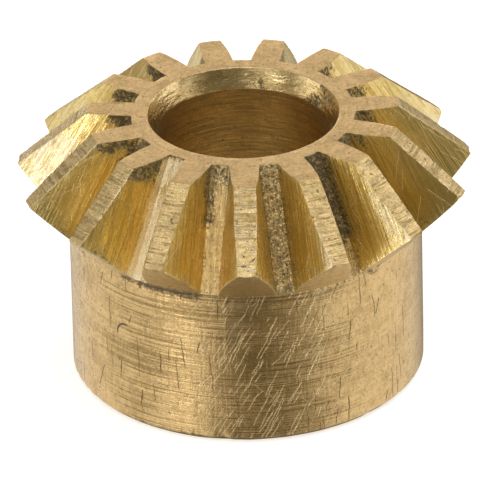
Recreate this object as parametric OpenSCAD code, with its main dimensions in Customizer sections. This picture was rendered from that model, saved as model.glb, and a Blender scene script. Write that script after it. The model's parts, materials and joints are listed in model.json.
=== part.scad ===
// Straight-tooth brass mitre gear: a bevel gear with a 45 degree pitch cone and a long hub.
// It is turned and milled from one bar, so the whole gear is one solid and one node.
// The bore runs along +Z, the back face lies on Z = 0 and the teeth narrow towards the nose at the top.
// One tooth points along -Y.

/* [Teeth] */
// Number of teeth
teeth = 15; // [14:1:16]
// Module at the heel, the large end of the teeth, in mm
tooth_module = 0.8; // [0.78:0.01:0.84]
// Height of the tooth tips' large end above the back face
heel_height = 6.25; // [6:0.05:6.5]
// Width of the flat bottom of a tooth space
root_land = 0.54; // [0.4:0.02:0.6]
// Radius of the convex tooth flanks
flank_radius = 4.4; // [4:0.1:6]
// Lean of the flanks at the bottom of a tooth space, away from the space's middle plane
flank_lean = 11.5; // [9:0.5:13]
// Distance from the axis to the bottom of the tooth spaces on the nose face
root_at_nose = 3.22; // [3.1:0.02:3.3]
// Distance from the axis to the bottom of the tooth spaces at their heel end
root_at_heel = 5.17; // [5.15:0.01:5.25]

/* [Blank] */
// Overall length, back face to nose face
gear_length = 8; // [7.8:0.05:8.3]
// Diameter of the flat nose face, out to where the tooth tips start to slope
nose_diameter = 9; // [8.6:0.1:9.4]
// Diameter of the hub
hub_diameter = 10.2; // [9.8:0.05:10.25]
// Chamfer around the hub's back face
hub_chamfer = 0.15; // [0.05:0.05:0.3]

/* [Bore] */
// Diameter of the shaft bore
bore_diameter = 5; // [4:0.1:5.2]
// Diameter of the bore's mouth on the nose face
mouth_diameter = 5.52; // [5.3:0.02:5.8]
// Depth of the bore's mouth
mouth_depth = 0.58; // [0.3:0.02:0.8]

/* [Hidden] */
$fn = 180;

// A mitre gear's pitch cone stands at 45 degrees and its back cone is square to that.
pitch_angle = 45;
pitch_radius = teeth * tooth_module / 2;
addendum = tooth_module;
tip_radius = pitch_radius + addendum * cos(pitch_angle);
hub_radius = hub_diameter / 2;

// Height on the back cone at a distance from the axis
function back_cone_height(r) = heel_height - (tip_radius - r) * tan(pitch_angle);

// The bottoms of the tooth spaces are straight lines that lean in towards the nose.
root_heel_height = back_cone_height(root_at_heel);
root_run = root_at_heel - root_at_nose;
root_rise = gear_length - root_heel_height;
root_angle = atan(root_run / root_rise);

// The cutter runs this far past the gear at both ends and above the tips.
overrun = 1.5;
cut_length = norm([root_run, root_rise]) + 2 * overrun;
cut_depth = 2.6;
cut_half_width = 2.2;

// The turned blank: hub, back cone, tip cone and flat nose, with its bore
module blank() {
    rotate_extrude()
        polygon([
            [bore_diameter / 2, 0],
            [hub_radius - hub_chamfer, 0],
            [hub_radius, hub_chamfer],
            [hub_radius, back_cone_height(hub_radius)],
            [tip_radius, heel_height],
            [nose_diameter / 2, gear_length],
            [mouth_diameter / 2, gear_length],
            [bore_diameter / 2, gear_length - mouth_depth]
        ]);
}

// Cross-section of a tooth space: X is the height above its flat bottom, Y runs across it.
module space_profile() {
    difference() {
        translate([0, -cut_half_width])
            square([cut_depth, 2 * cut_half_width]);
        for (side = [-1, 1])
            translate([
                -flank_radius * sin(flank_lean),
                side * (root_land / 2 + flank_radius * cos(flank_lean))
            ])
                circle(r = flank_radius);
    }
}

// One straight cut, with the same cross-section from the heel to the nose
module tooth_space() {
    translate([root_at_heel, 0, root_heel_height])
        rotate([0, -root_angle, 0])
            translate([0, 0, -overrun])
                linear_extrude(cut_length)
                    space_profile();
}

module bevel_gear() {
    color("goldenrod")
        difference() {
            blank();
            for (i = [0 : teeth - 1])
                rotate((i + 0.5) * 360 / teeth - 90)
                    tooth_space();
        }
}

bevel_gear();
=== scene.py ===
"""Looks for one brass mitre gear: a worn, machined mesh in procedural brass, on a pale floor in soft light.

Teeth and tooth spaces are numbered from the front tooth, 0, towards +X. Space n lies between the teeth n - 1
and n.
"""

import json
import math

import bpy
import numpy as np
from mathutils import Matrix, Vector


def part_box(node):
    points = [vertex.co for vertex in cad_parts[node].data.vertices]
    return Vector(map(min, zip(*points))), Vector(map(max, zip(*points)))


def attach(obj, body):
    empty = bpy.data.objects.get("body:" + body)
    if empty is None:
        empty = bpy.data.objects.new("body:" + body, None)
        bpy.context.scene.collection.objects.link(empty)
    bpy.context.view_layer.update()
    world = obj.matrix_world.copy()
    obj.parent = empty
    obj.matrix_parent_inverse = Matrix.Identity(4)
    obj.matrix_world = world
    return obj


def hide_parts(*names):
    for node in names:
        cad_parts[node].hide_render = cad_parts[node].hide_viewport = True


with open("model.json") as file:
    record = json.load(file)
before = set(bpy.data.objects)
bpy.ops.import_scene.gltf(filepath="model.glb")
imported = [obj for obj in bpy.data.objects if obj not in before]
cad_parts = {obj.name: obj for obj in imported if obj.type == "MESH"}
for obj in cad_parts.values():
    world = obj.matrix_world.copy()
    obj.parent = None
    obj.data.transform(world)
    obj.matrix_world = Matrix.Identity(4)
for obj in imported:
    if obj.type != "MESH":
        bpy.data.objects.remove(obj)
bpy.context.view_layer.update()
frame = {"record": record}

# ---------------------------------------------------------------- sizes, in millimetres
MM = 0.001
RNG = np.random.default_rng(15)
low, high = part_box("bevel_gear")
bore = next(m for m in frame["record"]["mounts"] if m["name"] == "bore")["dims"]
TEETH = 15
PITCH = 2 * math.pi / TEETH
TIP_R = -low.y / MM
LENGTH = high.z / MM
BORE_R = bore["r_mm"]
WALL_TOP = bore["length_mm"]
MOUTH_R = 2.76  # the bore's mouth where it meets the nose
NOSE_R = 4.5  # the tooth tips where they meet the nose
HEEL_Z = 6.25  # the tooth tips where they meet the heel
HUB_R = 5.1
HUB_CHAMFER = 0.15
ROOT_HALF = 0.27  # half the width of a tooth space's flat bottom
ROOT_NOSE_R = 3.22  # the flat bottom where it meets the nose
ROOT_HEEL_R = 5.17  # and where it meets the heel
FLANK_R = 4.4  # radius of the flanks' curve
FLANK_LEAN = math.radians(11.5)  # lean of the flanks at the bottom


def back_cone_z(r):
    """Height of the teeth's heel faces, a cone of 45 degrees, at radius r."""
    return HEEL_Z - (TIP_R - r)


HUB_TOP = back_cone_z(HUB_R)
ROOT_HEEL_Z = back_cone_z(ROOT_HEEL_R)
ROOT_ANGLE = math.atan2(ROOT_HEEL_R - ROOT_NOSE_R, LENGTH - ROOT_HEEL_Z)

# Cells of the mesh grid. One pitch runs from the middle of a tooth space to the middle of the next.
LAND_CELLS, FLANK_CELLS, ROOT_CELLS = 5, 14, 4  # half a tooth tip, a flank, half a root land
COLUMNS = TEETH * 2 * (LAND_CELLS + FLANK_CELLS + ROOT_CELLS)
TOOTH_ROWS, HUB_ROWS = 46, 46
EDGE = 0.04  # width of the two short cells beside an edge that gets rounded
EDGE_SHARE = 0.022  # the same at the two ends of a tooth, as a share of the tooth's length


# ---------------------------------------------------------------- noise for the mesh
def hashed(i, seed):
    """A number from 0 to 1 for each lattice point."""
    n = (i[..., 0] * 73856093) ^ (i[..., 1] * 19349663) ^ (i[..., 2] * 83492791) ^ (seed * 2654435761)
    n = (n ^ (n >> 13)) * 1274126177 & 0xFFFFFFFF
    n = (n ^ (n >> 16)) * 2246822519 & 0xFFFFFFFF
    return ((n ^ (n >> 15)) & 0xFFFFFF) / float(0xFFFFFF)


def noise(points, size, seed=0):
    """Smooth noise from -1 to 1, with lumps about `size` across."""
    p = np.asarray(points, float) / size + 1000.0
    cell = np.floor(p).astype(np.int64)
    t = p - cell
    t = t * t * (3 - 2 * t)
    total = 0
    for corner in np.ndindex(2, 2, 2):
        c = np.array(corner)
        share = np.prod(np.where(c, t, 1 - t), axis=-1)
        total = total + share * hashed(cell + c, seed)
    return 2 * total - 1


def ramp(x, a, b):
    """Rises smoothly from 0 at a to 1 at b."""
    t = np.clip((x - a) / (b - a), 0, 1)
    return t * t * (3 - 2 * t)


# ---------------------------------------------------------------- the gear's grid
def spaced(length, cells, lead=0.0, tail=0.0):
    """Distances from 0 to length, with two short cells at an end whose edge is rounded."""
    length = np.asarray(length, float)
    lead, tail = np.minimum(lead, length / 4), np.minimum(tail, length / 4)
    first = [0 * length, lead / 2] if np.any(lead > 0) else []
    last = [length - tail / 2, length] if np.any(tail > 0) else []
    even = np.linspace(0, 1, cells + 1 - len(first) - len(last))
    return np.array(first + [lead + (length - lead - tail) * t for t in even] + last)


def cut_height(x, z):
    """Height above the flat bottom of the tooth space whose middle plane is Y = 0."""
    return (x - ROOT_HEEL_R) * math.cos(ROOT_ANGLE) + (z - ROOT_HEEL_Z) * math.sin(ROOT_ANGLE)


def cut_half_width(h):
    """Half the width of a tooth space at height h above its flat bottom."""
    reach = h + FLANK_R * math.sin(FLANK_LEAN)
    return ROOT_HALF + FLANK_R * math.cos(FLANK_LEAN) - np.sqrt(FLANK_R**2 - reach**2)


def between(a, b, share):
    return a + (b - a) * share


def half_pitch(v):
    """Radius, angle from the tooth's middle and height of the columns of half a pitch.
    v runs from 0 at the heel to 1 at the nose."""
    foot = np.array([between(ROOT_HEEL_R, ROOT_NOSE_R, v), between(ROOT_HEEL_Z, LENGTH, v)])
    top = np.array([between(TIP_R, NOSE_R, v), between(HEEL_Z, LENGTH, v)])
    rise = (top - foot)[0] * math.cos(ROOT_ANGLE) + (top - foot)[1] * math.sin(ROOT_ANGLE)

    def on_bottom(y):
        share = np.zeros_like(v)
        for _ in range(8):
            r, z = between(foot, top, share)
            share = share - cut_height(np.sqrt(r * r - y * y), z) / rise
        return share

    def on_flank(share):
        r, z = between(foot, top, share)
        angle = np.full_like(r, 0.1)
        for _ in range(20):
            angle = np.arcsin(cut_half_width(cut_height(r * np.cos(angle), z)) / r)
        return r, PITCH / 2 - angle, z

    edge_r, edge_angle, edge_z = on_flank(np.ones_like(v))
    land = [(edge_r, s / edge_r, edge_z) for s in spaced(edge_r * edge_angle, LAND_CELLS, 0, EDGE)]
    corner = on_bottom(ROOT_HALF)
    size = np.hypot(*(top - foot)) * (1 - corner)
    down = spaced(size, FLANK_CELLS, EDGE, EDGE) / size
    flank = [on_flank(1 - (1 - corner) * d) for d in down]
    bottom = []
    for y in ROOT_HALF - spaced(ROOT_HALF, ROOT_CELLS, EDGE, 0):
        r, z = between(foot, top, on_bottom(y))
        bottom.append((r, PITCH / 2 - np.arcsin(y / r), z))
    return np.array(land + flank[1:] + bottom[1:])


def tooth_rings(v):
    """Radius, angle and height of the points round all the teeth, by row and column. Tooth 0 faces -Y."""
    half = half_pitch(np.asarray(v, float))
    mirrored = half[::-1].copy()
    mirrored[:, 1] *= -1
    one = np.concatenate([mirrored[:-1], half[:-1]])
    r, angle, z = (np.tile(one[:, k], (TEETH, 1)).T for k in range(3))
    angle = angle + np.repeat(np.arange(TEETH), len(one)) * PITCH
    return r, angle, z


def xyz(r, angle, z):
    return np.stack([r * np.sin(angle), -r * np.cos(angle), z + 0 * r], axis=-1)


def fan(start, end, cells, lead=EDGE, tail=EDGE):
    """A band of rows between two rings given as (radius, angle, height)."""
    size = np.hypot(end[0] - start[0], end[2] - start[2]) + 0 * start[1]
    share = spaced(size, cells, lead, tail) / size
    return [between(a, b, share) for a, b in zip(start, end)]


even_angle = (np.arange(COLUMNS) - COLUMNS / TEETH / 2) * 2 * math.pi / COLUMNS


def ring(r, z):
    return (np.full(COLUMNS, r), even_angle, np.full(COLUMNS, z))


# The surface runs up the bore, out over the nose, down the teeth and the hub, and in over the back. Each
# band of it is a name and its rows of points, and starts at an edge.
v_rows = spaced(np.array(1.0), TOOTH_ROWS, EDGE_SHARE, EDGE_SHARE)[::-1]
teeth = tooth_rings(v_rows)
nose_loop = [part[0] for part in teeth]
heel_loop = [part[-1] for part in teeth]
BANDS = [
    ("bore", fan(ring(BORE_R, 0), ring(BORE_R, WALL_TOP), 12)),
    ("mouth", fan(ring(BORE_R, WALL_TOP), ring(MOUTH_R, LENGTH), 7)),
    ("nose", fan(ring(MOUTH_R, LENGTH), nose_loop, 9)),
    ("teeth", teeth),
    ("heel", fan(heel_loop, ring(HUB_R, HUB_TOP), 9)),
    ("hub", fan(ring(HUB_R, HUB_TOP), ring(HUB_R, HUB_CHAMFER), HUB_ROWS)),
    ("rim", fan(ring(HUB_R, HUB_CHAMFER), ring(HUB_R - HUB_CHAMFER, 0), 4)),
    ("back", fan(ring(HUB_R - HUB_CHAMFER, 0), ring(BORE_R, 0), 8)),
]
row_band = np.concatenate([[i] * (len(parts[0]) - 1) for i, (_, parts) in enumerate(BANDS)])
names = [name for name, _ in BANDS]
starts = [int(np.argmax(row_band == i)) for i in range(len(BANDS))]
skin = np.concatenate([xyz(*parts)[:-1] for _, parts in BANDS])
ROWS = len(skin)


def softened(points, at, wear, axis):
    """Rounds the edge that runs along row or column `at`. wear, from 0 to 1, says how far that reaches."""
    p = np.moveaxis(points, axis, 0)
    n = len(p)
    sharp = p[at % n].copy()
    before = sharp + (p[(at - 2) % n] - sharp) * wear[..., None]
    after = sharp + (p[(at + 2) % n] - sharp) * wear[..., None]
    for step, t in ((-1, 0.25), (0, 0.5), (1, 0.75)):
        p[(at + step) % n] = (1 - t) ** 2 * before + 2 * t * (1 - t) * sharp + t**2 * after


# Columns of the edges of tips and bottoms, counted within one pitch
per_pitch = COLUMNS // TEETH
first_tip = ROOT_CELLS + FLANK_CELLS
tip_edges = [first_tip, first_tip + 2 * LAND_CELLS]
root_edges = [ROOT_CELLS, per_pitch - ROOT_CELLS]
tooth_span = slice(starts[names.index("teeth")], starts[names.index("heel")] + 1)
for tooth in range(TEETH):
    for column in tip_edges + root_edges:
        at = tooth * per_pitch + column
        block = skin[tooth_span]
        if column in tip_edges:
            wear = 0.55 + 0.45 * noise(block[:, at], 0.5, 3)
        else:
            wear = np.ones(len(block))
        softened(block, at, wear, 1)
for i in range(len(BANDS)):
    softened(skin, starts[i], 0.6 + 0.4 * noise(skin[starts[i]], 0.5, 4), 0)

# ---------------------------------------------------------------- what lies where on the grid
row, column = np.arange(ROWS), np.arange(COLUMNS)
in_pitch = column % per_pitch
tooth_of = column // per_pitch
space_of = (tooth_of + (in_pitch > per_pitch // 2)) % TEETH
on_land = (in_pitch >= tip_edges[0]) & (in_pitch <= tip_edges[1])
on_root = (in_pitch < root_edges[0]) | (in_pitch > root_edges[1])
band_of_row = np.array(names)[row_band]
in_teeth = (row >= tooth_span.start) & (row < tooth_span.stop)
toe = np.zeros(ROWS)  # 0 at the heel of the teeth and 1 at their nose
toe[tooth_span] = v_rows


# ---------------------------------------------------------------- wear and roughness in the mesh
def normals(points):
    """Unit normals of a grid of points, outwards."""
    down = np.roll(points, -1, 0) - np.roll(points, 1, 0)
    along = np.roll(points, -1, 1) - np.roll(points, 1, 1)
    n = np.cross(down, along)
    return n / np.linalg.norm(n, axis=-1, keepdims=True)


push = np.zeros((ROWS, COLUMNS))


def dent(at, reach, depth):
    """Pushes the surface in round the grid point `at`."""
    away = np.linalg.norm(skin - skin[at], axis=-1) / reach
    np.subtract(push, depth * np.exp(-(away**2)), out=push)


def random_rows(band, count):
    """Random rows inside one band."""
    return RNG.choice(np.flatnonzero(band_of_row == band)[3:-2], count)


HUB_DENTS, RIM_DENTS, NOSE_DENTS = 70, 60, 50
TIP_EDGE_DENTS, HEEL_DENTS = 5, 2  # on each long edge of a tooth's tip, and on each tooth's heel edge
for r in random_rows("hub", HUB_DENTS):
    dent((r, RNG.integers(COLUMNS)), RNG.uniform(0.04, 0.12), RNG.uniform(0.004, 0.016))
for _ in range(RIM_DENTS):
    at = (starts[names.index("rim")] + RNG.integers(-1, 4), RNG.integers(COLUMNS))
    dent(at, RNG.uniform(0.06, 0.16), 0.02)
for r in random_rows("nose", NOSE_DENTS):
    dent((r, RNG.integers(COLUMNS)), RNG.uniform(0.03, 0.06), RNG.uniform(0.006, 0.014))
for tooth in range(TEETH):
    for edge in tip_edges:
        for _ in range(TIP_EDGE_DENTS):
            at = (tooth_span.start + RNG.integers(2, TOOTH_ROWS), tooth * per_pitch + edge)
            dent(at, RNG.uniform(0.03, 0.07), RNG.uniform(0.006, 0.022))
    for _ in range(HEEL_DENTS):
        corner = tooth * per_pitch + RNG.integers(tip_edges[0], tip_edges[1] + 1)
        dent((starts[names.index("heel")], corner), RNG.uniform(0.06, 0.12), RNG.uniform(0.02, 0.04))

# Torn metal on the bottoms of the tooth spaces, worse in some spaces than in others
root_mask = in_teeth[:, None] * (on_root | np.isin(in_pitch, root_edges))[None, :]
coarse_space = 0.5 + 0.5 * np.cos(1.7 * space_of)[None, :]
push += root_mask * (0.010 + 0.014 * coarse_space) * noise(skin, 0.10, 11)

# Cutter chatter across the tooth tips near the nose, and a rough skin near the heel
CHATTER_PITCH, CHATTER_DEPTH = 0.19, 0.004
TOOTH_SLANT = math.hypot(TIP_R - NOSE_R, LENGTH - HEEL_Z)
land_mask = in_teeth[:, None] * on_land[None, :]
chatter = np.sin(2 * math.pi * toe[:, None] * TOOTH_SLANT / CHATTER_PITCH + 2 * noise(skin, 0.8, 12))
push += land_mask * CHATTER_DEPTH * chatter * ramp(toe, 0.35, 0.75)[:, None]
push += land_mask * CHATTER_DEPTH * noise(skin, 0.09, 13) * (1 - ramp(toe, 0.5, 0.9))[:, None]

WAVE_DEPTH = 0.003
push += WAVE_DEPTH * noise(skin, 1.4, 14)
skin = skin + normals(skin) * push[..., None]

# ---------------------------------------------------------------- how the tool marks lie
LAY_R = 3  # radius of the circle on which turning marks are read
SPACE_APART = 7.3  # keeps the marks of neighbouring tooth spaces apart
BARREL_APART = 20  # keeps the marks of the hub and bore apart from those of the teeth
radius = np.hypot(skin[..., 0], skin[..., 1])
angle = np.arctan2(skin[..., 0], -skin[..., 1])
level = skin[..., 2]
space_angle = angle - (space_of[None, :] - 0.5) * PITCH
x_cut, y_cut = radius * np.cos(space_angle), radius * np.sin(space_angle)
height = np.maximum(cut_height(x_cut, level), 0)
lean = FLANK_R * math.sin(FLANK_LEAN)
flank_arc = FLANK_R * (np.arcsin(np.clip((height + lean) / FLANK_R, -1, 1)) - FLANK_LEAN)
across = np.clip(y_cut, -ROOT_HALF, ROOT_HALF) + np.sign(y_cut) * flank_arc
along = (level - ROOT_HEEL_Z) * math.cos(ROOT_ANGLE) - (x_cut - ROOT_HEEL_R) * math.sin(ROOT_ANGLE)
cut_lay = np.stack([across, along, space_of[None, :] * SPACE_APART + 0 * along], axis=-1)
down_tooth = NOSE_R + (LENGTH - level) * TOOTH_SLANT / (LENGTH - HEEL_Z)
profile = np.where(in_teeth[:, None], down_tooth, radius)
profile = np.where(np.isin(band_of_row, ("hub", "bore"))[:, None], level + BARREL_APART, profile)
turned_lay = np.stack([LAY_R * np.sin(angle), -LAY_R * np.cos(angle), profile], axis=-1)


# ---------------------------------------------------------------- grime, and a darker hub corner, from 0 to 1
def flank(tooth, space):
    """The flank of one tooth that faces one tooth space."""
    return off_tip * ((tooth_of == tooth) & (space_of == space))[None, :]


# For each tooth space: how dark its grime is, where it starts (0 at the heel, 1 at the nose), and how far it
# climbs the flanks at the nose, in millimetres
SPACE_GRIME = [
    (0.60, 0.78, 0.5),
    (0.46, -0.20, 0.0),
    (0.85, 0.15, 0.1),
    (0.70, 0.78, 0.2),
    (0.75, 0.74, 0.2),
    (0.70, 0.72, 0.3),
    (0.70, 0.70, 0.4),
    (0.60, 0.70, 0.4),
    (0.65, 0.70, 0.5),
    (0.70, 0.70, 0.4),
    (0.80, 0.72, 0.4),
    (0.85, 0.72, 0.5),
    (0.90, 0.75, 0.3),
    (0.85, 0.80, 1.4),
    (0.75, 0.70, 1.4),
]
MOUTH_GRIME_ANGLE = 2.05  # radians from the front, towards +X
off_tip = ((in_pitch <= tip_edges[0]) | (in_pitch >= tip_edges[1]))[None, :] * in_teeth[:, None]
patchy = 0.5 * noise(skin, 0.35, 21) + 0.3 * noise(skin, 0.14, 22)
dark, start, climb = (np.array(values)[space_of][None, :] for values in zip(*SPACE_GRIME))
left_of_front_space = (space_of == 0) & (tooth_of == TEETH - 1)
start = start - 0.35 * left_of_front_space[None, :]
climb = 0.1 + climb * ramp(toe, 0.72, 0.95)[:, None] * (0.8 + 0.8 * noise(skin, 0.6, 25))
low_down = 1 - ramp(height, climb, climb + 0.25)
soil = dark * ramp(toe[:, None] + 0.28 * patchy, start, start + 0.16) * low_down * off_tip

# Darker along the corner where the heel faces meet the hub, more so at the left
hub_corner = np.exp(-(((level - HUB_TOP) / 0.16) ** 2)) * (radius < HUB_R + 0.5) * (radius > HUB_R - 0.3)
corner_darkening = ramp(0.5 * noise(skin, 1.1, 23) + 0.5 * patchy + 0.25 * (angle < -0.2), 0.0, 0.4)
soil = np.maximum(soil, hub_corner * corner_darkening)

heel_end = off_tip * (1 - ramp(toe, 0.0, 0.22))[:, None]
soil = np.maximum(soil, 0.5 * heel_end * ramp(noise(skin, 0.5, 26) + patchy, 0.1, 0.7))

mouth_rows = (band_of_row == "mouth")[:, None]
right_rear = np.exp(-(((angle - MOUTH_GRIME_ANGLE) / 0.5) ** 2))
mouth_grime = ramp(right_rear + 0.7 * noise(skin, 0.5, 24) + 0.5 * patchy, 0.55, 0.9)
soil = np.maximum(soil, 0.8 * mouth_rows * mouth_grime)

# ---------------------------------------------------------------- painted shade on some flanks, from 0 to 1
# Painted shade on the flanks in tooth spaces 3 and 4, strongest at the heel, and on the right flank of tooth
# 9
shaded_flanks = off_tip * np.isin(space_of, (3, 4))[None, :] * (1.0 - 0.45 * toe[:, None])
shade = (shaded_flanks + 1.3 * flank(9, 10)) * (0.85 + 0.3 * noise(skin, 0.7, 31))

# ---------------------------------------------------------------- metal rubbed bright at edges, and painted highlights, from 0 to 1
wear_and_highlight = np.zeros((ROWS, COLUMNS))
for edge in tip_edges:
    wear_and_highlight[tooth_span] += np.clip(1.2 - 0.4 * abs(in_pitch - edge), 0, 1)[None, :]
for band in ("nose", "teeth", "heel", "rim"):
    wear_and_highlight[starts[names.index(band)]] = 1
wear_and_highlight *= ramp(noise(skin, 0.6, 27) + 0.6 * noise(skin, 0.12, 28), -0.1, 0.4)

# Painted highlight on the last tooth space, at the front left: its bottom and a little way up its left flank
highlight_bottom = (space_of == TEETH - 1) & on_root
highlight_flank = (tooth_of == TEETH - 2) & (in_pitch >= root_edges[1] - 3)
space_highlight = in_teeth[:, None] * (highlight_bottom | highlight_flank)[None, :]
space_highlight = space_highlight * ramp(toe, 1.0, 0.96)[:, None] * ramp(noise(skin, 0.6, 29), -1.2, -0.3)
wear_and_highlight = np.maximum(wear_and_highlight, space_highlight)
soil *= 1 - space_highlight

# Painted highlights on some flanks, all over or towards their tips
TIP_AT_HEEL, TIP_AT_NOSE = 1.92, 1.09  # how high the tooth tips stand over the flat bottoms
up_flank = height / between(TIP_AT_HEEL, TIP_AT_NOSE, toe[:, None])
painted_highlight = 0.8 * flank(11, 12) + 0.5 * flank(10, 11) + 0.5 * flank(5, 5)
painted_highlight += 0.75 * flank(2, 2) * ramp(up_flank, 0.5, 0.9)
painted_highlight += 0.75 * flank(1, 1) * ramp(up_flank, 0.6, 0.95) * ramp(toe, 0.5, 0.2)[:, None]
wear_and_highlight = np.maximum(wear_and_highlight, painted_highlight * (1 + 0.2 * noise(skin, 0.7, 32)) * ramp(toe, 0.75, 0.6)[:, None])

# A painted highlight: a bright line along the foot of the front tooth's left flank
front_foot = (tooth_of == 0) & np.isin(in_pitch, (root_edges[0] - 1, root_edges[0]))
front_foot_highlight = in_teeth[:, None] * front_foot[None, :]
wear_and_highlight = np.maximum(wear_and_highlight, front_foot_highlight * ramp(noise(skin, 0.8, 30), -0.5, 0.2))

# ---------------------------------------------------------------- the gear's mesh
MATERIALS = ["hub", "rim", "back", "heel", "nose", "mouth", "bore", "tip", "flank", "root"]
i, j = np.meshgrid(row, column, indexing="ij")
next_i, next_j = (i + 1) % ROWS, (j + 1) % COLUMNS
corners = [(i, j), (next_i, j), (next_i, next_j), (i, next_j)]
quads = np.stack([a * COLUMNS + b for a, b in corners], axis=-1)
land_cell = (in_pitch >= tip_edges[0]) & (in_pitch < tip_edges[1])
root_cell = (in_pitch < root_edges[0]) | (in_pitch >= root_edges[1])
part_of_tooth = np.where(land_cell, "tip", np.where(root_cell, "root", "flank"))
face_part = np.where(band_of_row[:, None] == "teeth", part_of_tooth[None, :], band_of_row[:, None])

mesh = bpy.data.meshes.new("gear")
mesh.from_pydata((skin.reshape(-1, 3) * MM).tolist(), [], quads.reshape(-1, 4).tolist())
for name, values, kind, key in (
    ("cut_lay", cut_lay, "FLOAT_VECTOR", "vector"),
    ("turned_lay", turned_lay, "FLOAT_VECTOR", "vector"),
    ("soil", soil, "FLOAT", "value"),
    ("wear_and_highlight", wear_and_highlight, "FLOAT", "value"),
    ("shade", shade, "FLOAT", "value"),
):
    mesh.attributes.new(name, kind, "POINT").data.foreach_set(key, values.astype(np.float32).ravel())
mesh.polygons.foreach_set("use_smooth", np.ones(quads.size // 4, bool))
index_of = {name: n for n, name in enumerate(MATERIALS)}
mesh.polygons.foreach_set("material_index", np.vectorize(index_of.get)(face_part).astype(np.int32).ravel())
mesh.update()
gear = bpy.data.objects.new("gear", mesh)
bpy.context.scene.collection.objects.link(gear)
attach(gear, "root")
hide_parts("bevel_gear")


# ---------------------------------------------------------------- node trees
COLOUR_A, COLOUR_B, COLOUR_RESULT = 6, 7, 2  # the sockets of a Mix node that carry colours


class Nodes:
    """A node tree under construction. Each method adds a node and returns its result."""

    def __init__(self, tree):
        self.tree = tree
        tree.nodes.clear()

    def add(self, kind, *values, **settings):
        node = self.tree.nodes.new("ShaderNode" + kind)
        for key, value in settings.items():
            setattr(node, key, value)
        for socket, value in zip(node.inputs, values):
            self.put(socket, value)
        return node

    def put(self, socket, value):
        if isinstance(value, bpy.types.NodeSocket):
            self.tree.links.new(value, socket)
        elif value is not None:
            socket.default_value = value

    def math(self, operation, a, b=0.0):
        return self.add("Math", a, b, operation=operation).outputs[0]

    def most(self, a, b):
        return self.math("MAXIMUM", a, b)

    def times(self, a, b):
        return self.math("MULTIPLY", a, b)

    def plus(self, a, b):
        return self.math("ADD", a, b)

    def minus(self, a, b):
        return self.math("SUBTRACT", a, b)

    def absolute(self, a):
        return self.math("ABSOLUTE", a)

    def step(self, x, a, b, low=0.0, high=1.0):
        """Goes smoothly from low at a to high at b."""
        return self.add("MapRange", x, a, b, low, high, interpolation_type="SMOOTHSTEP").outputs[0]

    def scaled(self, vector, factors):
        return self.add("VectorMath", vector, factors, operation="MULTIPLY").outputs[0]

    def split(self, vector):
        return self.add("SeparateXYZ", vector).outputs

    def joined(self, x, y, z):
        return self.add("CombineXYZ", x, y, z).outputs[0]

    def read(self, name, output="Vector"):
        return self.add("Attribute", attribute_name=name).outputs[output]

    def noise(self, vector, scale, detail=2.0, roughness=0.5):
        return self.add("TexNoise", vector, None, scale, detail, roughness).outputs[0]

    def mix(self, share, a, b):
        node = self.add("Mix", data_type="RGBA")
        self.put(node.inputs[0], share)
        self.put(node.inputs[COLOUR_A], a)
        self.put(node.inputs[COLOUR_B], b)
        return node.outputs[COLOUR_RESULT]


class Surface(Nodes):
    """The node tree of a new material. place is the position on the gear, in millimetres."""

    def __init__(self, name):
        self.material = bpy.data.materials.new(name)
        self.material.use_nodes = True
        super().__init__(self.material.node_tree)
        self.place = self.scaled(self.add("TexCoord").outputs["Object"], (1 / MM, 1 / MM, 1 / MM))

    def scratches(self, u, v, lean, gap, length, width, share):
        """Straight hairlines on the plane (u, v), leaning from v by `lean` degrees. Each lane, `gap` wide,
        is cut into pieces `length` long, and a share of the pieces holds a line."""
        c, n = math.cos(math.radians(lean)), math.sin(math.radians(lean))
        across = self.times(self.minus(self.times(u, c), self.times(v, n)), 1 / gap)
        along = self.times(self.plus(self.times(u, n), self.times(v, c)), 1 / length)
        lane = self.math("FLOOR", across)
        shift = self.add("TexWhiteNoise", noise_dimensions="1D")
        self.put(shift.inputs["W"], lane)
        along = self.plus(along, self.times(shift.outputs["Value"], 10.0))
        piece = self.math("FLOOR", along)
        dice = self.add("TexWhiteNoise", self.joined(lane, piece, lean))
        chance, offset, size = self.split(dice.outputs["Color"])
        middle = self.minus(self.minus(along, piece), 0.5)
        drift = self.times(self.minus(offset, 0.5), self.plus(0.5, middle))
        aside = self.absolute(self.minus(self.minus(self.minus(across, lane), 0.5), drift))
        body = self.step(aside, 0.3 * width / gap, 0.7 * width / gap, 1.0, 0.0)
        reach = self.times(self.plus(size, 0.3), 0.38)
        ends = self.step(self.minus(self.absolute(middle), reach), -0.12, 0.0, 1.0, 0.0)
        there = self.step(chance, share, share - 0.05)
        return self.times(self.times(body, ends), there)


# ---------------------------------------------------------------- places that the materials single out
def hub_plane(s):
    """Arc length round the hub, and height."""
    x, y, z = s.split(s.place)
    return s.times(s.math("ARCTAN2", x, s.times(y, -1.0)), HUB_R), z


def hub_front(s):
    """The middle of the hub's front and back, a little to the right, where its hairlines get painted glints.
    """
    aside = s.absolute(s.minus(s.split(s.place)[0], 0.9))
    return s.step(aside, 1.2, 2.9, 1.0, 0.12)


def curl(s):
    """A quarter of a small circle, scored into the left of the hub's front."""
    u, v = hub_plane(s)
    du, dv = s.minus(u, -3.86), s.minus(v, 2.85)
    away = s.math("SQRT", s.plus(s.times(du, du), s.times(dv, dv)))
    circle = s.step(s.absolute(s.minus(away, 0.33)), 0.015, 0.045, 1.0, 0.0)
    return s.times(s.times(circle, s.step(s.minus(dv, du), 0.2, 0.34)), 0.9)


def tooth_shadow(s):
    """Painted shadow: a faint wedge-shaped darkening under the front tooth, with a crisp left side and a
    soft right side.
    """
    u, v = hub_plane(s)
    left = s.step(u, -0.65, -0.5)
    right = s.step(s.minus(u, s.times(v, 0.63)), -2.05, -2.75)
    return s.times(s.times(left, right), s.step(s.noise(s.place, 2.5), 0.3, 0.6, 0.25, 0.42))


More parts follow.
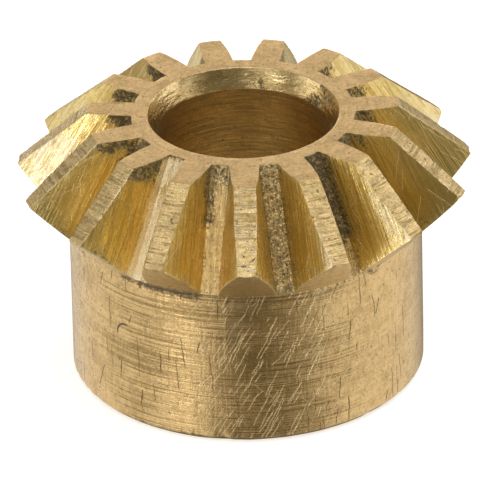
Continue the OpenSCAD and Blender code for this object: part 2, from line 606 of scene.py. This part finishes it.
# The scored curl, and the painted shadow under the front tooth
def hub_curl_and_shadow(s):
    return s.most(curl(s), tooth_shadow(s))


def tip_plane(s):
    """Distance down a tooth's tip, and distance across it."""
    x, y, profile = s.split(s.read("turned_lay"))
    return profile, s.times(s.math("ARCTAN2", x, s.times(y, -1.0)), TIP_R)


def front_tooth(s):
    """The middle of the gear's front and back, where the tips' hairlines get painted glints."""
    return s.step(s.absolute(s.split(s.place)[0]), 0.6, 1.6, 1.0, 0.25)


def cut_plane(s):
    """Distance up a flank from the middle of its tooth space, and distance along the space."""
    across, along, space = s.split(s.read("cut_lay"))
    return s.plus(across, space), along


# ---------------------------------------------------------------- tool marks, from 0 to 1
def turning(frequency, wander=1.0, broad_share=0.3):
    """Marks that run round the axis."""
    def lines(s):
        fine = s.noise(s.scaled(s.read("turned_lay"), (wander, wander, frequency)), 1.0, 3.0, 0.65)
        broad = s.noise(s.scaled(s.read("turned_lay"), (wander, wander, frequency / 5)), 1.0, 1.0, 0.5)
        return s.step(s.plus(s.times(fine, 1 - broad_share), s.times(broad, broad_share)), 0.36, 0.64)
    return lines


def hub_turning(s):
    """Turning marks that come and go, are weakest at the left and right, and are crossed by upright ones."""
    marks = turning(17.0, 0.3, 0.15)(s)
    here = s.step(s.noise(s.scaled(s.place, (0.45, 0.45, 0.9)), 1.0, 2.0), 0.40, 0.56, 0.35, 1.0)
    aside = s.absolute(s.plus(s.split(s.place)[0], 0.5))
    here = s.times(here, s.step(aside, 0.45 * HUB_R, 0.85 * HUB_R, 1.0, 0.3))
    marks = s.plus(s.times(s.minus(marks, 0.55), here), 0.55)
    u, v = hub_plane(s)
    upright = s.noise(s.joined(s.times(u, 13.0), s.times(v, 1.3), 0.0), 1.0, 2.0, 0.6)
    return s.plus(marks, s.times(s.minus(upright, 0.5), 0.7))


def milling(frequency, stretch=0.5):
    """Streaks that run along a tooth space."""
    def lines(s):
        fine = s.noise(s.scaled(s.read("cut_lay"), (frequency, stretch, 1.0)), 1.0, 3.0, 0.65)
        broad = s.noise(s.scaled(s.read("cut_lay"), (frequency / 4, stretch / 2, 1.0)), 1.0, 1.0, 0.5)
        return s.step(s.plus(s.times(fine, 0.75), s.times(broad, 0.25)), 0.36, 0.64)
    return lines


# ---------------------------------------------------------------- brass
# Grime, and the painted shadow under the front tooth
GRIME_AND_SHADOW = (0.074, 0.049, 0.020, 1)
# Edges rubbed bright, and painted highlights
BURR_AND_HIGHLIGHT = (1.0, 0.85, 0.57, 1)
# Painted shade on some flanks
SHADE_BROWN = (0.30, 0.18, 0.03, 1)
# Painted glints on bright scratches
SCRATCH_GLINT = (1.0, 0.78, 0.44, 1)


def tarnish_and_shade_amount(s, marks, grain, sand, dullness, line_tint, sandy):
    """How dull the brass is: in clouds, in tool marks, on flanks with painted shade and in a fine grain."""
    mottle = s.noise(s.place, 1.1, 4.0, 0.6)
    patches = s.noise(s.place, 3.7, 3.0, 0.6)
    clouds = s.plus(s.times(mottle, 0.5), s.times(patches, 0.5))
    tarnish_and_shade = s.times(s.step(clouds, 0.38, 0.62), dullness)
    tarnish_and_shade = s.most(tarnish_and_shade, s.step(marks, 0.65, 0.1, 0.0, line_tint))
    tarnish_and_shade = s.most(tarnish_and_shade, s.read("shade", "Fac"))
    tarnish_and_shade = s.plus(tarnish_and_shade, s.times(s.minus(grain, 0.5), 1.1))
    return s.plus(tarnish_and_shade, s.times(s.minus(sand, 0.5), sandy))


def dirt_and_shadow_amount(s, grain, sand, specks, marks_and_shadow):
    """How dark the brass is made: in pits, in the dark marks given (on the hub, a scored curl and a painted
    shadow), and where the mesh has soil, broken up by the grain.
    """
    pits_and_shadow = s.times(s.step(s.noise(s.place, 7.5, 2.0, 0.5), 0.67, 0.73), specks)
    pits_and_shadow = s.most(pits_and_shadow, s.times(s.step(s.noise(s.place, 15.0, 1.0, 0.5), 0.70, 0.76), specks))
    # Dark marks given: on the hub, a scored curl and a painted shadow
    if marks_and_shadow:
        pits_and_shadow = s.most(pits_and_shadow, marks_and_shadow(s))
    laid = s.read("soil", "Fac")
    broken = s.plus(s.times(s.minus(grain, 0.5), 1.3), s.times(s.minus(sand, 0.5), 2.0))
    soil = s.step(s.plus(laid, s.times(broken, s.step(laid, 0.0, 0.25))), 0.12, 0.95, 0.0, 0.93)
    return s.most(pits_and_shadow, soil)


def bare_and_highlit(s, marks, grain):
    """Where edges are rubbed bright and where painted highlights lie, with ragged borders."""
    edge = s.read("wear_and_highlight", "Fac")
    ragged = s.plus(s.times(s.minus(grain, 0.5), 2.0), s.times(s.minus(marks, 0.5), 0.5))
    return s.times(s.step(s.plus(edge, ragged), 0.5, 1.0), s.step(edge, 0.1, 0.4))


def brass(name, clean, dull, rough, lines, line_depth, grain_depth, specks=0.5, dullness=0.5,
          line_tint=0.35, sandy=0.8, anisotropy=0.0, marks_and_shadow=None,
          plane=None, hairlines=(), scratch_glint=SCRATCH_GLINT, bright_zone=None):
    """Machined brass. lines(shader) returns the tool marks, and the function given for dark marks returns
    them: on the hub, a scored curl and a painted shadow under the front tooth. Each hairline is (lean, gap,
    length, width, share, brightness) on the plane that plane(shader) returns. The bright ones are scratches
    painted with glints in the glint colour given, and keep to the zone that bright_zone(shader) returns.
    Dark ones are grime."""
    s = Surface("brass_" + name)
    marks = lines(s)
    grain = s.noise(s.place, 24.0, 2.0, 0.7)
    sand = s.noise(s.place, 10.0, 3.0, 0.65)
    tarnish_and_shade = tarnish_and_shade_amount(s, marks, grain, sand, dullness, line_tint, sandy)
    dirt_and_shadow = dirt_and_shadow_amount(s, grain, sand, specks, marks_and_shadow)
    wear_and_highlight = bare_and_highlit(s, marks, grain)

    colour = s.mix(tarnish_and_shade, clean + (1,), dull + (1,))
    # Painted shade on some flanks
    colour = s.mix(s.times(s.read("shade", "Fac"), 0.4), colour, SHADE_BROWN)
    height = s.plus(s.times(marks, line_depth), s.times(grain, grain_depth))
    height = s.plus(height, s.times(dirt_and_shadow, -0.01))
    if hairlines:
        u, v = plane(s)
        u = s.plus(u, s.times(s.minus(s.noise(s.place, 3.0, 2.0), 0.5), 0.12))
    for lean, gap, length, width, share, brightness in hairlines:
        cut = s.scratches(u, v, lean, gap, length, width, share)
        if bright_zone and brightness > 0:
            cut = s.times(cut, bright_zone(s))
        # Bright hairlines are scratches painted with a glint; dark ones hold grime
        tone = s.mix(abs(brightness), dull + (1,), scratch_glint if brightness > 0 else GRIME_AND_SHADOW)
        colour = s.mix(cut, colour, tone)
        height = s.plus(height, s.times(cut, -0.3 * width))
    # Grime and the painted shadow darken the colour; rubbed edges and painted highlights lighten it
    colour = s.mix(wear_and_highlight, s.mix(dirt_and_shadow, colour, GRIME_AND_SHADOW), BURR_AND_HIGHLIGHT)

    shader = s.add("BsdfPrincipled")
    s.put(shader.inputs["Base Color"], colour)
    s.put(shader.inputs["Metallic"], s.minus(s.step(dirt_and_shadow, 0.2, 1.0, 1.0, 0.25), s.times(wear_and_highlight, 0.5)))
    s.put(shader.inputs["Roughness"], s.plus(s.plus(s.times(tarnish_and_shade, 0.16), rough), s.times(dirt_and_shadow, 0.3)))
    bump = s.add("Bump")
    bump.inputs["Strength"].default_value = 1.0
    bump.inputs["Distance"].default_value = MM
    s.put(bump.inputs["Height"], height)
    s.put(shader.inputs["Normal"], bump.outputs[0])
    if anisotropy:
        shader.inputs["Anisotropic"].default_value = anisotropy
        shader.inputs["Anisotropic Rotation"].default_value = 0.25
        tangent = s.add("Tangent", direction_type="RADIAL", axis="Z")
        s.put(shader.inputs["Tangent"], tangent.outputs[0])
    s.put(s.add("OutputMaterial").inputs["Surface"], shader.outputs[0])
    return s.material


CLEAN, DULL = (0.825, 0.575, 0.27), (0.44, 0.29, 0.112)
HUB_HAIRLINES = (
    (25, 0.10, 1.7, 0.020, 0.5, 1.0),
    (31, 0.13, 1.2, 0.022, 0.5, 1.0),
    (39, 0.24, 0.9, 0.020, 0.3, 0.9),
    (-40, 0.6, 1.3, 0.020, 0.25, 0.8),
    (-4, 0.26, 1.5, 0.024, 0.28, -0.25),
    (11, 0.45, 0.9, 0.030, 0.25, -0.5),
)
TIP_HAIRLINES = (
    (1, 0.055, 0.5, 0.026, 0.35, 1.0),
    (-2, 0.09, 0.35, 0.034, 0.3, 1.0),
)
FLANK_HAIRLINES = (
    (35, 0.25, 1.2, 0.020, 0.3, 1.0),
    (-24, 0.3, 1.4, 0.020, 0.3, 1.0),
    (4, 0.16, 2.0, 0.022, 0.35, -0.15),
    (-3, 0.2, 1.6, 0.020, 0.35, 1.0),
)
for material in (
    brass("hub", CLEAN, (0.37, 0.24, 0.088), 0.22, hub_turning, 0.010, 0.003,
          line_tint=0.85, dullness=0.45, sandy=1.0, anisotropy=0.75, marks_and_shadow=hub_curl_and_shadow,
          plane=hub_plane, hairlines=HUB_HAIRLINES, bright_zone=hub_front),
    # The rim's darker colours are painted shade along the gear's bottom edge
    brass("rim", (0.55, 0.39, 0.18), (0.3, 0.2, 0.08), 0.36, turning(9.0), 0.003, 0.006),
    brass("back", CLEAN, DULL, 0.30, turning(9.0), 0.004, 0.003),
    brass("heel", (1.0, 0.77, 0.40), (0.44, 0.31, 0.13), 0.36, turning(9.0), 0.006, 0.010,
          specks=0.8, dullness=0.2, sandy=1.6),
    brass("nose", (0.93, 0.64, 0.29), (0.50, 0.33, 0.14), 0.40, turning(9.0), 0.003, 0.009,
          specks=0.8, sandy=1.6),
    brass("mouth", (1.0, 0.77, 0.40), (0.42, 0.29, 0.11), 0.16, turning(11.0, 1.2), 0.008, 0.003,
          line_tint=0.7),
    brass("bore", (0.84, 0.63, 0.31), (0.42, 0.32, 0.15), 0.30, turning(13.0, 0.6), 0.005, 0.004,
          line_tint=0.7),
    brass("tip", (1.0, 0.74, 0.36), (0.40, 0.28, 0.11), 0.25, turning(18.0, 1.5), 0.009, 0.020,
          specks=0.8, line_tint=0.8, sandy=1.5,
          plane=tip_plane, hairlines=TIP_HAIRLINES, scratch_glint=BURR_AND_HIGHLIGHT, bright_zone=front_tooth),
    brass("flank", (1.0, 0.79, 0.34), (0.70, 0.52, 0.18), 0.23, milling(13.0), 0.010, 0.003,
          specks=0.3, line_tint=0.9, plane=cut_plane, hairlines=FLANK_HAIRLINES),
    brass("root", (1.0, 0.76, 0.38), (0.46, 0.32, 0.14), 0.20, milling(11.0, 1.0), 0.014, 0.024,
          specks=0.7, dullness=0.35, line_tint=0.6, sandy=1.2),
):
    mesh.materials.append(material)

# ---------------------------------------------------------------- floor, light and camera
FLOOR_SIZE = 0.8
FLOOR_GAP = 2e-5
floor_mesh = bpy.data.meshes.new("floor")
half = FLOOR_SIZE / 2
floor_corners = [(-half, -half, 0), (half, -half, 0), (half, half, 0), (-half, half, 0)]
floor_mesh.from_pydata(floor_corners, [], [(0, 1, 2, 3)])
floor = bpy.data.objects.new("floor", floor_mesh)
floor.location.z = low.z - FLOOR_GAP
bpy.context.scene.collection.objects.link(floor)
paper = bpy.data.materials.new("pale_paper")
paper.use_nodes = True
for socket, value in (
    ("Base Color", (0.93, 0.93, 0.93, 1)),
    ("Roughness", 0.9),
    ("Specular IOR Level", 0.1),
    ("Emission Color", (1, 1, 1, 1)),
    ("Emission Strength", 0.6),
):
    paper.node_tree.nodes["Principled BSDF"].inputs[socket].default_value = value
floor_mesh.materials.append(paper)
floor.visible_glossy = False


def from_angles(azimuth, elevation):
    """Unit vector towards a place. Azimuth 0 is in front, at -Y, and 90 is at +X."""
    a, e = math.radians(azimuth), math.radians(elevation)
    return Vector((math.sin(a) * math.cos(e), -math.cos(a) * math.cos(e), math.sin(e)))


# Soft round lights on the sky, as azimuth, elevation, radius in degrees and strength
LIGHTS = [
    (15, 75, 28, 1.22),
    (-26, 33, 16, 0.85),
    (-40, -2, 12, 3.1),
    (-52, -36, 26, 0.60),
    (-84, -10, 22, 0.50),
    (-132, -34, 28, 0.75),
    (-95, 28, 26, 0.60),
    (-172, 8, 14, 2.1),
    (97, -26, 45, 0.76),
    (125, 35, 32, 0.70),
]
AMBIENT = (0.165, 0.145, 0.105)  # light from all sides
world = bpy.data.worlds.new("studio")
bpy.context.scene.world = world
world.use_nodes = True
sky = Nodes(world.node_tree)
towards = sky.add("TexCoord").outputs["Generated"]
light = 0.0
for azimuth, elevation, reach, strength in LIGHTS:
    facing = sky.add("VectorMath", towards, from_angles(azimuth, elevation), operation="DOT_PRODUCT")
    outside, inside = math.cos(math.radians(1.5 * reach)), math.cos(math.radians(0.5 * reach))
    light = sky.plus(light, sky.step(facing.outputs["Value"], outside, inside, 0.0, strength))
tinted = sky.add("VectorMath", light, AMBIENT, operation="ADD").outputs[0]
background = sky.add("Background", tinted)
sky.put(sky.add("OutputWorld").inputs["Surface"], background.outputs[0])

# The camera looks down at the front tooth and is rolled a little, so the gear leans to the left.
CAMERA_ELEVATION, CAMERA_ROLL = 29.15, 1.29
CAMERA_DISTANCE = 0.248
AIM = Vector((0.000115, 0, 0.003808))
LENS = 617.0
back = from_angles(0, CAMERA_ELEVATION)
up = from_angles(0, CAMERA_ELEVATION + 90)
right = Vector((1, 0, 0))
roll = math.radians(CAMERA_ROLL)
rolled_right = right * math.cos(roll) - up * math.sin(roll)
rolled_up = up * math.cos(roll) + right * math.sin(roll)
camera = bpy.data.objects.new("camera", bpy.data.cameras.new("camera"))
camera.data.lens = LENS
camera.data.clip_start = 0.01
camera.data.clip_end = 10
rotation = Matrix((rolled_right, rolled_up, back)).transposed()
camera.matrix_world = Matrix.Translation(AIM + back * CAMERA_DISTANCE) @ rotation.to_4x4()
bpy.context.scene.collection.objects.link(camera)
bpy.context.scene.camera = camera
bpy.context.scene.view_settings.view_transform = "Standard"
